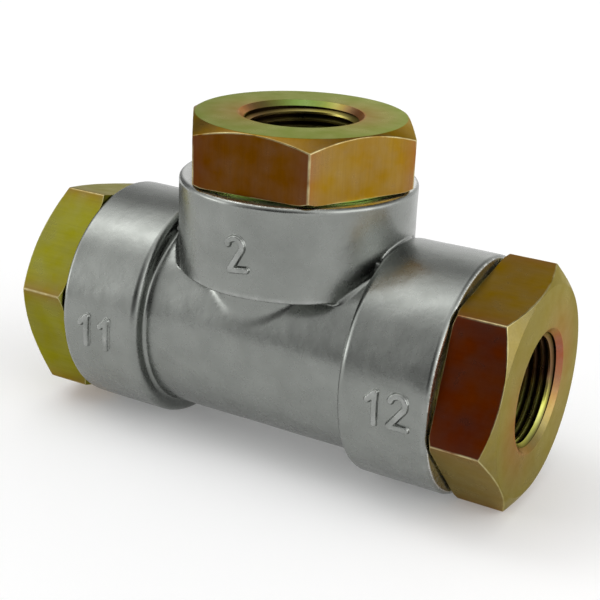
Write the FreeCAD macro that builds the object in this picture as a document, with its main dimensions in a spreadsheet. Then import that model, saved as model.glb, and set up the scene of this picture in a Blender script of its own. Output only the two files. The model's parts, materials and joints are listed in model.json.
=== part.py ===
import FreeCAD, Part
import math
import os
import re

import Sketcher

# A two-way valve: a cast tee with an inlet at each end of its run and an outlet on its branch.
# A shuttle slides in the run. It shuts the inlet with the lower pressure and opens the other one.
# The frame: X along the run, port 12 at +X and port 11 at -X, Z up the branch to port 2.
# The origin lies below the crossing of the axes, level with the lowest line of the collars.

SIZES = [
    # the cast housing, outside
    ("run_length", 81.4, "housing along the run, rim to rim"),
    ("branch_height", 32.05, "from the run's axis to the branch's rim"),
    ("collar_step", 2.7, "from a flat of a hexagon out to the surface of the collar behind it"),
    ("collar_lap", 0.7, "how far an end collar reaches past the line of the branch collar's side"),
    ("step_height", 2.95, "how far an end collar stands out from the tube between the two"),
    ("branch_collar_length", 18.2, "branch collar, from its rim down to its lower edge"),
    ("neck_inset", 1.65, "how much less the neck's radius is than the tube's"),
    ("rim_round", 0.9, "rounding of the edges of the collars"),
    ("foot_round", 0.5, "rounding of the branch collar's lower edge"),
    ("step_bevel", 0.6, "bevel in the corner where an end collar steps down to the tube"),
    ("crease_round", 1.1, "rounding in the crease where the neck meets the tube"),
    # the housing's bores
    ("joint_diameter", 36.0, "M36 x 1.5 joint between a port and the housing"),
    ("chamber_diameter", 30.0, "bore that the shuttle slides in"),
    ("outlet_diameter", 20.0, "passage from the chamber up to the branch"),
    # the hexagon ports
    ("hex_across_flats", 41.0, "spanner size"),
    ("hex_length", 11.6, "hexagon along its axis"),
    ("hex_face_inset", 0.25, "from a flat in to the circle where the corner chamfer meets the face"),
    ("hex_chamfer_angle", 30.0, "corner chamfer, degrees from the face"),
    ("hex_back_chamfer", 0.5, "corner chamfer at the back of the hexagon, along the axis"),
    ("washer_face_inset", 0.4, "from a flat in to the raised ring that seats on the rim"),
    ("washer_face_height", 0.45, "height of that ring"),
    ("spigot_length", 13.3, "from the washer face to the end of the joint thread"),
    ("spigot_chamfer", 0.9, "lead-in at the end of the joint thread"),
    ("nose_length", 7.8, "plain nose of an inlet port, inside the chamber"),
    ("seat_height", 1.4, "raised lip that the shuttle closes on"),
    ("seat_land", 1.0, "flat width of the lip"),
    ("seat_bevel", 0.5, "bevel inside the lip"),
    ("seat_flank", 1.1, "how far the lip spreads towards its foot"),
    ("port_diameter", 22.0, "M22 x 1.5 thread in each port"),
    ("port_depth", 15.0, "depth of that thread"),
    ("port_mouth", 1.0, "chamfer at the mouth of the thread"),
    ("drill_angle", 118.0, "cone at the bottom of the thread, in degrees"),
    ("inlet_bore", 14.0, "bore through an inlet port"),
    ("outlet_bore", 16.0, "bore through the outlet port"),
    ("hex_turn_11", 40.6, "turn of port 11's hexagon about its axis, in degrees"),
    ("hex_turn_12", 41.9, "turn of port 12's hexagon about its axis, in degrees"),
    ("hex_turn_2", 4.0, "turn of port 2's hexagon about its axis, in degrees"),
    # the sealing rings
    ("ring_section", 2.0, "thickness of a sealing ring"),
    ("ring_groove_depth", 1.6, "groove for the ring, below the joint thread"),
    ("ring_play", 0.4, "room for the ring along its groove"),
    # the shuttle
    ("shuttle_travel", 6.0, "from one inlet to the other"),
    ("core_diameter", 12.0, "stem between the shuttle's two cups"),
    ("fin_count", 6, "guide fins round the stem"),
    ("fin_thickness", 2.0, "thickness of a fin"),
    ("fin_tip_chamfer", 1.0, "chamfer at the ends of a fin's guiding edge"),
    ("cup_wall", 1.15, "wall of the cup that holds a sealing disc"),
    ("cup_length", 3.6, "cup along the axis"),
    ("disc_margin", 0.8, "how far a sealing disc reaches beyond the lip that it closes on"),
    ("disc_thickness", 2.6, "thickness of that disc"),
    ("disc_proud", 0.4, "how far the disc stands out of its cup"),
    ("disc_edge", 0.3, "chamfer round the disc's face"),
    # the clearances
    ("joint_clearance", 0.05, "round the joint thread"),
    ("end_clearance", 0.4, "between the end of a spigot and the step in its bore"),
    ("nose_clearance", 0.1, "between a nose and the chamber"),
    ("guide_clearance", 0.08, "between the fins and the chamber"),
    ("ring_clearance", 0.05, "between a sealing ring and the walls inside and outside it"),
    ("disc_clearance", 0.05, "round a disc, and between it and a lip at the end of the travel"),
]

doc = FreeCAD.newDocument("two_way_valve")


def fill_sheet():
    """Write the driving dimensions to a sheet: name, value and meaning in each row."""
    sheet = doc.addObject("Spreadsheet::Sheet", "sizes")
    for row, (alias, value, meaning) in enumerate(SIZES, start=1):
        sheet.set(f"A{row}", alias)
        sheet.set(f"B{row}", str(value))
        sheet.set(f"C{row}", meaning)
        sheet.setAlias(f"B{row}", alias)
    doc.recompute()
    return sheet


ALIASES = {alias for alias, value, meaning in SIZES}
sizes = fill_sheet()


def bound(text):
    """Turn an expression in plain names into one that reads the sheet."""
    return re.sub(r"[a-z]\w*", lambda m: "sizes." + m[0] if m[0] in ALIASES else m[0], text)


def value_of(text):
    """The number that an expression in plain names gives now."""
    return float(sizes.evalExpression(bound(text)))


def origin_feature(body, role):
    """One of a body's own planes or axes."""
    return next(f for f in body.Origin.OriginFeatures if f.Role == role)


def new_sketch(body, name, role):
    """An empty sketch on one of the body's own planes."""
    sketch = body.newObject("Sketcher::SketchObject", name)
    sketch.AttachmentSupport = [(origin_feature(body, role), "")]
    sketch.MapMode = "FlatFace"
    return sketch


def hold(sketch, kind, places, text, name):
    """Add one dimension to a sketch and bind it to the sheet."""
    index = sketch.addConstraint(Sketcher.Constraint(kind, *places, value_of(text)))
    sketch.renameConstraint(index, name)
    sketch.setExpression("Constraints." + name, bound(text))


def hold_point(sketch, edge, end, across, along, name):
    """Hold one point of a sketch by its two distances from the origin."""
    if across == "0":
        sketch.addConstraint(Sketcher.Constraint("PointOnObject", edge, end, -2))
    else:
        hold(sketch, "DistanceX", (-1, 1, edge, end), across, name + "_across")
    if along == "0":
        sketch.addConstraint(Sketcher.Constraint("PointOnObject", edge, end, -1))
    else:
        hold(sketch, "DistanceY", (-1, 1, edge, end), along, name + "_along")


def draw_profile(body, name, corners):
    """Sketch a closed outline of straight edges on the body's XZ plane.

    A corner is a name with its two distances as expressions.
    """
    sketch = new_sketch(body, name, "XZ_Plane")
    at = [FreeCAD.Vector(value_of(c[1]), value_of(c[2]), 0) for c in corners]
    for i in range(len(at)):
        sketch.addGeometry(Part.LineSegment(at[i], at[(i + 1) % len(at)]), False)
    for i, corner in enumerate(corners):
        after = (i + 1) % len(corners)
        sketch.addConstraint(Sketcher.Constraint("Coincident", i, 2, after, 1))
        hold_point(sketch, i, 1, corner[1], corner[2], corner[0])
    return sketch


def turn(body, kind, sketch, role):
    """Revolve a sketch about one of the body's own axes, to add or to cut."""
    before = body.Shape.Volume if body.Tip else 0.0
    feature = body.newObject("PartDesign::" + kind, sketch.Name + "_turned")
    feature.Profile = sketch
    feature.ReferenceAxis = (origin_feature(body, role), [""])
    feature.Angle = 360.0
    doc.recompute()
    grew = feature.Shape.Volume > before
    if grew != (kind == "Revolution"):
        raise RuntimeError(f"{feature.Name} changed nothing")
    return feature


def new_body(name, turn_axis=None, turn_angle=0.0, place=("0", "0", "0")):
    """A body with its name, turned about one axis of the frame and put in its place."""
    body = doc.addObject("PartDesign::Body", name)
    body.Label = name
    put(body, turn_axis, turn_angle, place)
    return body


def put(thing, turn_axis, turn_angle, place):
    """Give a piece its Placement, with the three distances bound to the sheet."""
    axis = FreeCAD.Vector(*(turn_axis or (0, 0, 1)))
    base = FreeCAD.Vector(*(value_of(text) for text in place))
    thing.Placement = FreeCAD.Placement(base, FreeCAD.Rotation(axis, turn_angle))
    for letter, text in zip("xyz", place):
        thing.setExpression("Placement.Base." + letter, bound(text))


# radii and depths that more than one piece takes its size from
HEX_CORNER = "(hex_across_flats / 2 / cos(30))"
COLLAR = "(hex_across_flats / 2 + collar_step)"
TUBE = f"({COLLAR} - step_height)"
NECK = f"({TUBE} - neck_inset)"
JOINT = "(joint_diameter / 2)"
CHAMBER = "(chamber_diameter / 2)"
RING_FLOOR = f"({JOINT} - ring_groove_depth)"
RING_RECESS = f"({RING_FLOOR} + ring_section + 2 * ring_clearance)"
RING_ROOM = "(ring_section + ring_play)"
JOINT_DEPTH = "(spigot_length + end_clearance)"
SEAT_TIP_RADIUS = "(inlet_bore / 2 + seat_bevel + seat_land)"
DISC = f"({SEAT_TIP_RADIUS} + disc_margin)"
HALF_RUN = "run_length / 2"
# the run's axis stands on the collars
AXIS_HEIGHT = COLLAR
ALONG_Y = (0, 1, 0)
# each port: the turn of its own Z axis about Y, where its washer face seats, and its hexagon
PORTS = {
    "11": (-90.0, ("-" + HALF_RUN, "0", AXIS_HEIGHT), "hex_turn_11"),
    "12": (90.0, (HALF_RUN, "0", AXIS_HEIGHT), "hex_turn_12"),
    "2": (0.0, ("0", "0", AXIS_HEIGHT + " + branch_height"), "hex_turn_2"),
}


# an edge lies on a surface when it is this near
NEAR = 1e-3


def edge_names(shape, wanted):
    """Names of the edges of a shape that a test picks."""
    return [f"Edge{i}" for i, edge in enumerate(shape.Edges, start=1) if wanted(edge)]


def round_edges(body, name, base, wanted, radius):
    """Round the edges that a test picks on a body's last feature."""
    fillet = body.newObject("PartDesign::Fillet", name)
    fillet.Base = (base, edge_names(base.Shape, wanted))
    fillet.setExpression("Radius", bound(radius))
    doc.recompute()
    return fillet


def is_circle(edge, radius, height=None):
    """Is this edge on a circle of this radius, and at this height if one is given?"""
    if not isinstance(edge.Curve, Part.Circle):
        return False
    if abs(edge.Curve.Radius - value_of(radius)) > NEAR:
        return False
    return height is None or abs(edge.Curve.Center.z - value_of(height)) < NEAR


def is_neck_crease(edge):
    """Is this edge in the crease where the neck meets the tube, below the branch collar?"""
    neck = value_of(NECK)
    tube = value_of(TUBE)
    first, last = edge.ParameterRange
    for share in (0.2, 0.5, 0.8):
        point = edge.valueAt(first + share * (last - first))
        if abs(math.hypot(point.x, point.y) - neck) > NEAR:
            return False
        if abs(math.hypot(point.y, point.z) - tube) > NEAR:
            return False
    return True


def make_housing():
    """The casting: a tube with a collar at each end, a branch with a third one, and the bores."""
    body = new_body("housing", place=("0", "0", AXIS_HEIGHT))
    collar_end = f"({COLLAR} - collar_lap)"
    run = draw_profile(
        body,
        "run_outside",
        [
            ("axis_left", "-" + HALF_RUN, "0"),
            ("rim_left", "-" + HALF_RUN, COLLAR),
            ("step_left", "-" + collar_end, COLLAR),
            ("bevel_left", "-" + collar_end, f"({TUBE} + step_bevel)"),
            ("tube_left", f"-({collar_end} - step_bevel)", TUBE),
            ("tube_right", f"({collar_end} - step_bevel)", TUBE),
            ("bevel_right", collar_end, f"({TUBE} + step_bevel)"),
            ("step_right", collar_end, COLLAR),
            ("rim_right", HALF_RUN, COLLAR),
            ("axis_right", HALF_RUN, "0"),
        ],
    )
    plain_run = turn(body, "Revolution", run, "X_Axis")
    round_edges(body, "collar_edges", plain_run, lambda e: is_circle(e, COLLAR), "rim_round")
    collar_foot = "(branch_height - branch_collar_length)"
    branch = draw_profile(
        body,
        "branch_outside",
        [
            ("crossing", "0", "0"),
            ("neck_foot", NECK, "0"),
            ("neck_top", NECK, collar_foot),
            ("collar_foot", COLLAR, collar_foot),
            ("collar_rim", COLLAR, "branch_height"),
            ("axis_top", "0", "branch_height"),
        ],
    )
    outside = turn(body, "Revolution", branch, "Z_Axis")
    creased = round_edges(body, "neck_crease", outside, is_neck_crease, "crease_round")
    rim = round_edges(
        body, "branch_rim", creased, lambda e: is_circle(e, COLLAR, "branch_height"), "rim_round"
    )
    round_edges(body, "branch_foot", rim, lambda e: is_circle(e, COLLAR, collar_foot), "foot_round")

    recess_end = f"({HALF_RUN} - {RING_ROOM})"
    step = f"({HALF_RUN} - {JOINT_DEPTH})"
    run_bore = draw_profile(
        body,
        "run_bore",
        [
            ("mouth_axis_left", "-" + HALF_RUN, "0"),
            ("mouth_left", "-" + HALF_RUN, RING_RECESS),
            ("recess_left", "-" + recess_end, RING_RECESS),
            ("joint_left", "-" + recess_end, JOINT),
            ("step_left", "-" + step, JOINT),
            ("chamber_left", "-" + step, CHAMBER),
            ("chamber_right", step, CHAMBER),
            ("step_right", step, JOINT),
            ("joint_right", recess_end, JOINT),
            ("recess_right", recess_end, RING_RECESS),
            ("mouth_right", HALF_RUN, RING_RECESS),
            ("mouth_axis_right", HALF_RUN, "0"),
        ],
    )
    turn(body, "Groove", run_bore, "X_Axis")
    outlet = "outlet_diameter / 2"
    branch_step = f"(branch_height - {JOINT_DEPTH})"
    branch_recess = f"(branch_height - {RING_ROOM})"
    branch_bore = draw_profile(
        body,
        "branch_bore",
        [
            ("crossing", "0", "0"),
            ("outlet_foot", outlet, "0"),
            ("outlet_top", outlet, branch_step),
            ("branch_step", JOINT, branch_step),
            ("branch_joint", JOINT, branch_recess),
            ("branch_recess", RING_RECESS, branch_recess),
            ("branch_mouth", RING_RECESS, "branch_height"),
            ("mouth_axis", "0", "branch_height"),
        ],
    )
    turn(body, "Groove", branch_bore, "Z_Axis")
    return body


# heights in a port's own frame, where its washer face lies at 0 and its face looks along +Z
PORT_TOP = "(washer_face_height + hex_length)"
# a blank or a cut reaches this far past the metal that is left, so that no two walls just meet
RUN_OUT = "1"
BLANK = f"({HEX_CORNER} + {RUN_OUT})"
SLOPE = "tan(hex_chamfer_angle)"


def port_outside(has_seat):
    """Outline of a port's turned blank, from the axis round to the axis."""
    face = "(hex_across_flats / 2 - hex_face_inset)"
    washer = "(hex_across_flats / 2 - washer_face_inset)"
    back_start = f"({HEX_CORNER} - hex_back_chamfer / {SLOPE})"
    thread = f"({JOINT} - joint_clearance)"
    nose = f"({CHAMBER} - nose_clearance)"
    nose_end = "-(spigot_length + nose_length)"
    seat_tip = "-(spigot_length + nose_length + seat_height)"
    inside = [("end_axis", "0", "-spigot_length")]
    if has_seat:
        inside = [
            ("tip_axis", "0", seat_tip),
            ("tip", SEAT_TIP_RADIUS, seat_tip),
            ("tip_foot", f"({SEAT_TIP_RADIUS} + seat_flank)", nose_end),
            ("nose_end", nose, nose_end),
            ("nose_root", nose, "-spigot_length"),
        ]
    return inside + [
        ("spigot_end", f"({thread} - spigot_chamfer)", "-spigot_length"),
        ("spigot_edge", thread, "-(spigot_length - spigot_chamfer)"),
        ("groove_end", thread, "-" + RING_ROOM),
        ("groove_floor", RING_FLOOR, "-" + RING_ROOM),
        ("groove_top", RING_FLOOR, "0"),
        ("washer_face", washer, "0"),
        ("washer_root", washer, "washer_face_height"),
        ("back_chamfer", back_start, "washer_face_height"),
        ("back_edge", BLANK, f"washer_face_height + ({BLANK} - {back_start}) * {SLOPE}"),
        ("front_edge", BLANK, f"{PORT_TOP} - ({BLANK} - {face}) * {SLOPE}"),
        ("face_edge", face, PORT_TOP),
        ("face_axis", "0", PORT_TOP),
    ]


def port_bore(has_seat):
    """Outline of a port's bore: chamfered mouth, thread, drill cone and through bore."""
    thread = "port_diameter / 2"
    through = "inlet_bore / 2" if has_seat else "outlet_bore / 2"
    thread_end = f"({PORT_TOP} - port_depth)"
    cone_end = f"{thread_end} - ({thread} - {through}) / tan(drill_angle / 2)"
    end = "-(spigot_length + nose_length + seat_height)" if has_seat else "-spigot_length"
    beyond = f"{end} - {RUN_OUT}"
    return [
        ("outside_axis", "0", f"{PORT_TOP} + {RUN_OUT}"),
        ("outside", f"({thread} + port_mouth + {RUN_OUT})", f"{PORT_TOP} + {RUN_OUT}"),
        ("mouth_foot", thread, f"{PORT_TOP} - port_mouth"),
        ("thread_end", thread, thread_end),
        ("cone_end", through, cone_end),
        ("bevel_start", through, f"{end} + seat_bevel"),
        ("bevel_end", f"({through} + seat_bevel + {RUN_OUT})", beyond),
        ("inside_axis", "0", beyond),
    ]


def mill_hexagon(body, hex_turn):
    """Cut the six flats: everything outside a hexagon goes."""
    sketch = new_sketch(body, "hexagon_" + body.Name, "XY_Plane")
    sketch.AttachmentOffset = FreeCAD.Placement(
        FreeCAD.Vector(0, 0, 0), FreeCAD.Rotation(FreeCAD.Vector(0, 0, 1), value_of(hex_turn))
    )
    sketch.setExpression("AttachmentOffset.Rotation.Angle", bound(hex_turn))
    corner = value_of(HEX_CORNER)
    at = [
        FreeCAD.Vector(corner * math.cos(math.radians(a)), corner * math.sin(math.radians(a)), 0)
        for a in range(0, 360, 60)
    ]
    for i in range(6):
        sketch.addGeometry(Part.LineSegment(at[i], at[(i + 1) % 6]), False)
    zero, up = FreeCAD.Vector(0, 0, 0), FreeCAD.Vector(0, 0, 1)
    sketch.addGeometry(Part.Circle(zero, up, corner), True)
    sketch.addGeometry(Part.Circle(zero, up, value_of(f"{BLANK} + {RUN_OUT}")), False)
    for i in range(6):
        sketch.addConstraint(Sketcher.Constraint("Coincident", i, 2, (i + 1) % 6, 1))
        sketch.addConstraint(Sketcher.Constraint("PointOnObject", i, 1, 6))
    for i in range(1, 6):
        sketch.addConstraint(Sketcher.Constraint("Equal", 0, i))
    for circle in (6, 7):
        sketch.addConstraint(Sketcher.Constraint("Coincident", circle, 3, -1, 1))
    sketch.addConstraint(Sketcher.Constraint("PointOnObject", 0, 1, -1))
    hold(sketch, "Radius", (6,), HEX_CORNER, "corner_radius")
    hold(sketch, "Radius", (7,), f"{BLANK} + {RUN_OUT}", "outside_radius")
    before = body.Shape.Volume
    pocket = body.newObject("PartDesign::Pocket", "flats_" + body.Name)
    pocket.Profile = sketch
    pocket.Reversed = True
    pocket.setExpression("Length", bound(f"{PORT_TOP} + {RUN_OUT}"))
    doc.recompute()
    if pocket.Shape.Volume >= before:
        raise RuntimeError("the flats were not cut")


def make_port(number):
    """A hexagon port, turned from bar. The two inlets also carry a nose with the shuttle's seat."""
    turn_angle, place, hex_turn = PORTS[number]
    body = new_body("adapter_port_" + number, ALONG_Y, turn_angle, place)
    has_seat = number != "2"
    outside = draw_profile(body, "outside_" + number, port_outside(has_seat))
    turn(body, "Revolution", outside, "Z_Axis")
    mill_hexagon(body, hex_turn)
    bore = draw_profile(body, "bore_" + number, port_bore(has_seat))
    turn(body, "Groove", bore, "Z_Axis")
    return body


def make_sealing_ring(number):
    """The rubber ring in the groove below a port's hexagon."""
    turn_angle, place, hex_turn = PORTS[number]
    ring = doc.addObject("Part::Torus", "o_ring_port_" + number)
    ring.Label = ring.Name
    section = "(ring_section / 2)"
    ring.setExpression("Radius2", bound(section))
    ring.setExpression("Radius1", bound(f"{RING_FLOOR} + {section} + ring_clearance"))
    # its middle lies half the recess inside the rim
    inward = {"11": ("x", 1), "12": ("x", -1), "2": ("z", -1)}[number]
    shifted = [
        text + (" + " if inward[1] > 0 else " - ") + f"{RING_ROOM} / 2" if letter == inward[0]
        else text
        for letter, text in zip("xyz", place)
    ]
    put(ring, ALONG_Y, turn_angle, shifted)
    return ring


# the shuttle's own Z axis lies along the run; at rest it stands midway between the inlets
SEAT_TIP = f"({HALF_RUN} - spigot_length - nose_length - seat_height)"
SHUTTLE_END = f"({SEAT_TIP} - shuttle_travel / 2 - disc_clearance)"
CUP_FACE = f"({SHUTTLE_END} - disc_proud)"
CUP_BACK = f"({CUP_FACE} - cup_length)"
POCKET_FLOOR = f"({SHUTTLE_END} - disc_thickness)"


def make_shuttle():
    """The moulded shuttle: a stem with guide fins, and a cup for a rubber disc at each end."""
    body = new_body("shuttle", ALONG_Y, 90.0, ("0", "0", AXIS_HEIGHT))
    core = "core_diameter / 2"
    pocket = f"({DISC} + disc_clearance)"
    cup = f"({pocket} + cup_wall)"
    profile = draw_profile(
        body,
        "stem_and_cups",
        [
            ("floor_axis_low", "0", "-" + POCKET_FLOOR),
            ("floor_low", pocket, "-" + POCKET_FLOOR),
            ("brim_in_low", pocket, "-" + CUP_FACE),
            ("brim_out_low", cup, "-" + CUP_FACE),
            ("cup_back_low", cup, "-" + CUP_BACK),
            ("stem_low", core, "-" + CUP_BACK),
            ("stem_high", core, CUP_BACK),
            ("cup_back_high", cup, CUP_BACK),
            ("brim_out_high", cup, CUP_FACE),
            ("brim_in_high", pocket, CUP_FACE),
            ("floor_high", pocket, POCKET_FLOOR),
            ("floor_axis_high", "0", POCKET_FLOOR),
        ],
    )
    turn(body, "Revolution", profile, "Z_Axis")
    guide = f"({CHAMBER} - guide_clearance)"
    fin = draw_profile(
        body,
        "fin",
        [
            ("fin_root_low", "core_diameter / 4", "-" + CUP_BACK),
            ("fin_foot_low", f"({guide} - fin_tip_chamfer)", "-" + CUP_BACK),
            ("fin_guide_low", guide, f"-({CUP_BACK} - fin_tip_chamfer)"),
            ("fin_guide_high", guide, f"({CUP_BACK} - fin_tip_chamfer)"),
            ("fin_foot_high", f"({guide} - fin_tip_chamfer)", CUP_BACK),
            ("fin_root_high", "core_diameter / 4", CUP_BACK),
        ],
    )
    pad = body.newObject("PartDesign::Pad", "first_fin")
    pad.Profile = fin
    pad.Midplane = True
    pad.setExpression("Length", bound("fin_thickness"))
    doc.recompute()
    pattern = body.newObject("PartDesign::PolarPattern", "fins")
    pattern.Originals = [pad]
    pattern.Axis = (origin_feature(body, "Z_Axis"), [""])
    pattern.Angle = 360.0
    pattern.setExpression("Occurrences", bound("fin_count"))
    body.Tip = pattern
    doc.recompute()
    return body


def make_disc(number, side):
    """A rubber disc in its cup, which closes on the seat of one inlet."""
    turn_angle = 90.0 if side > 0 else -90.0
    body = new_body("shuttle_seal_" + number, ALONG_Y, turn_angle, ("0", "0", AXIS_HEIGHT))
    profile = draw_profile(
        body,
        "disc_" + number,
        [
            ("back_axis", "0", POCKET_FLOOR),
            ("back_edge", DISC, POCKET_FLOOR),
            ("side_end", DISC, f"({SHUTTLE_END} - disc_edge)"),
            ("face_edge", f"({DISC} - disc_edge)", SHUTTLE_END),
            ("face_axis", "0", SHUTTLE_END),
        ],
    )
    turn(body, "Revolution", profile, "Z_Axis")
    return body


pieces = [make_housing()]
pieces += [make_port(number) for number in PORTS]
pieces += [make_sealing_ring(number) for number in PORTS]
pieces += [make_shuttle(), make_disc("11", -1), make_disc("12", 1)]
doc.recompute()

for thing in doc.Objects:
    if "Invalid" in thing.State or "Error" in thing.State:
        raise RuntimeError(f"{thing.Name} failed: {thing.State}")
os.makedirs("parts", exist_ok=True)
for piece in pieces:
    shape = piece.Shape
    if shape.isNull() or not shape.isValid() or len(shape.Solids) != 1:
        raise RuntimeError(f"{piece.Label} is not one valid solid")
    shape.exportStep(f"parts/{piece.Label}.step")
    box = shape.optimalBoundingBox()
    print(f"{piece.Label}: {shape.Volume:.0f} mm3, X {box.XMin:.2f} to {box.XMax:.2f}, "
          f"Y {box.YMin:.2f} to {box.YMax:.2f}, Z {box.ZMin:.2f} to {box.ZMax:.2f}")
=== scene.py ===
# %% [markdown]
# # A two-way valve, dressed in Blender
# The object is a compressed-air fitting: a cast tee with a hexagon port screwed into each end.
# A imported CAD model fixes its size, its pieces and its moving shuttle. This script gives it its
# looks: soft creases with painted shade, raised port numbers, plated ports with edges lightened as
# wear and as a painted highlight, real screw threads, and studio light.

# %% Load the frame
import json
from math import atan2, cos, degrees, exp, hypot, pi, radians, sin, tan

import bmesh
import bpy
import numpy as np
from mathutils import Matrix, Vector


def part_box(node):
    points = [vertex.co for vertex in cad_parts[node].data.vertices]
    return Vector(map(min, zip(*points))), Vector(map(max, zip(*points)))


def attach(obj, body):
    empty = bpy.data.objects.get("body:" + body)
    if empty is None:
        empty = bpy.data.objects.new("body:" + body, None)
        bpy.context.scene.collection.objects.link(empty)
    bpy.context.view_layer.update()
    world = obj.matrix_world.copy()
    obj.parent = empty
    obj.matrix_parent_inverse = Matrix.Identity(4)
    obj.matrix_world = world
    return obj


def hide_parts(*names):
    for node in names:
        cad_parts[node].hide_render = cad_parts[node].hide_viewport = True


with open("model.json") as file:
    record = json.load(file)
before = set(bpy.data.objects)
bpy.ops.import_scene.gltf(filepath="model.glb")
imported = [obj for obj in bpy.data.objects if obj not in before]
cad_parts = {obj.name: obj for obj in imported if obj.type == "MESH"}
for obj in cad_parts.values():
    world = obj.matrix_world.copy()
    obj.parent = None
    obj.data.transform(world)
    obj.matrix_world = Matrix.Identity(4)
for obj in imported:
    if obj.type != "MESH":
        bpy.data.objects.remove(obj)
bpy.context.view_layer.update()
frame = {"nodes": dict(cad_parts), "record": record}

scene = bpy.context.scene

# %% [markdown]
# Every length below is in millimetres, from the point where the axes of the run and the branch
# cross, and a mesh is scaled to metres once, when it is finished. The main sizes come from the
# frame: its mounts say where the ports are, and a node's box says how far it reaches.

# %% Sizes that the frame gives
MM = 0.001
MOUNTS = {mount["name"]: mount for mount in frame["record"]["mounts"]}
AXIS_HEIGHT = MOUNTS["port_12"]["pos_m"][2] / MM
PORT_RADIUS = MOUNTS["port_12"]["dims"]["r_mm"]
HALF_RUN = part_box("housing")[1].x / MM
BRANCH_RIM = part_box("housing")[1].z / MM - AXIS_HEIGHT
PORT_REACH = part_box("adapter_port_12")[1].x / MM - HALF_RUN
# the run stands on its collars
COLLAR_RADIUS = AXIS_HEIGHT
TO_FRAME = Matrix.Translation((0, 0, AXIS_HEIGHT * MM)) @ Matrix.Scale(MM, 4)

# %% [markdown]
# The camera stands where the photographer stood. Its angles, distance and lens were fitted to
# the outline of the object, and a small shift puts the centre of the picture where it belongs.

# %% Camera
CAMERA_AZIMUTH = radians(29.521)
CAMERA_ELEVATION = radians(22.14)
CAMERA_ROLL = radians(2.361)
CAMERA_DISTANCE = 257.891
CAMERA_AIM = Vector((1.581, 0.0, 0.269))
CAMERA_LENS = 76.57
CAMERA_SHIFT = 0.0476
CAMERA_NEAR = 10.0


def new_object(name, data):
    """Put a mesh or a camera in the scene."""
    thing = bpy.data.objects.new(name, data)
    scene.collection.objects.link(thing)
    return thing


def make_camera():
    """A camera that looks at the valve from the photographer's place."""
    camera = new_object("camera", bpy.data.cameras.new("camera"))
    turned = Matrix.Rotation(CAMERA_AZIMUTH, 4, "Z")
    turned @= Matrix.Rotation(radians(90) - CAMERA_ELEVATION, 4, "X")
    turned @= Matrix.Rotation(CAMERA_ROLL, 4, "Z")
    place = TO_FRAME @ (CAMERA_AIM + turned.col[2].xyz * CAMERA_DISTANCE)
    camera.matrix_world = Matrix.Translation(place) @ turned
    camera.data.lens = CAMERA_LENS
    camera.data.shift_y = CAMERA_SHIFT
    camera.data.clip_start = CAMERA_NEAR * MM
    scene.camera = camera


make_camera()

# %% [markdown]
# Metal shows its surroundings more than its own colour, so the light is half of the material.
# The studio is a dark room with soft patches of light. The strongest lie low on the left, up on
# the left and low on the right. Their reflections run along the cylinders and tell the eye that
# these are round.

# %% World and floor
scene.view_settings.view_transform = "Standard"
FLOOR_RADIUS = 3.0
FLOOR_GLOW = 0.15


def new_material(name):
    """An empty material and its tree."""
    material = bpy.data.materials.new(name)
    material.use_nodes = True
    tree = material.node_tree
    tree.nodes.clear()
    return material, tree


def add(tree, kind, values=None, **settings):
    """Add a node to a tree: settings are its own options, values go to its sockets."""
    node = tree.nodes.new(kind)
    for key, value in settings.items():
        setattr(node, key, value)
    for key, value in (values or {}).items():
        if isinstance(value, bpy.types.NodeSocket):
            tree.links.new(value, node.inputs[key])
        else:
            node.inputs[key].default_value = value
    return node


def maths(tree, operation, *values, clamp=False):
    """The result of one step of arithmetic with numbers or sockets."""
    return add(tree, "ShaderNodeMath", dict(enumerate(values)), operation=operation,
               use_clamp=clamp).outputs[0]


def surface(tree, values):
    """Send a Principled shader with these values to the material's output."""
    shader = add(tree, "ShaderNodeBsdfPrincipled", values)
    add(tree, "ShaderNodeOutputMaterial", {"Surface": shader.outputs["BSDF"]})


def grey(level):
    """A neutral colour."""
    return (level, level, level, 1.0)


ROOM_LEVEL = 0.02
# each patch of light: its azimuth and height in degrees, how fast it fades, and its brightness
LIGHT_PATCHES = [
    (0, 6, 13, 2.00),
    (30, 6, 13, 1.05),
    (60, 6, 13, 0.65),
    (90, 6, 13, 0.58),
    (120, 6, 13, 0.65),
    (180, 6, 13, 0.25),
    (210, 6, 13, 1.90),
    (212, 8, 70, 3.00),
    (330, 6, 16, 0.50),
    (15, 30, 13, 0.80),
    (105, 30, 13, 0.70),
    (195, 30, 13, 0.35),
    (225, 30, 13, 0.70),
    (345, 30, 13, 1.60),
    (180, 55, 18, 1.50),
    (195, 57, 80, 2.50),
    (315, 55, 13, 0.75),
    (150, 80, 13, 0.75),
    (270, 80, 13, 1.05),
]


def make_world():
    """A dark room with soft patches of light."""
    world = bpy.data.worlds.new("studio")
    world.use_nodes = True
    tree = world.node_tree
    tree.nodes.clear()
    direction = add(tree, "ShaderNodeTexCoord").outputs["Generated"]
    level = ROOM_LEVEL
    for azimuth, height, fade, brightness in LIGHT_PATCHES:
        a, h = radians(azimuth), radians(height)
        towards = (cos(a) * cos(h), sin(a) * cos(h), sin(h))
        near = add(tree, "ShaderNodeVectorMath", {0: direction, 1: towards},
                   operation="DOT_PRODUCT").outputs["Value"]
        fall = maths(tree, "MULTIPLY_ADD", near, fade, -fade)
        level = maths(tree, "MULTIPLY_ADD", maths(tree, "EXPONENT", fall), brightness, level)
    background = add(tree, "ShaderNodeBackground", {"Color": grey(1.0), "Strength": level})
    add(tree, "ShaderNodeOutputWorld", {"Surface": background.outputs["Background"]})
    scene.world = world


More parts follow.
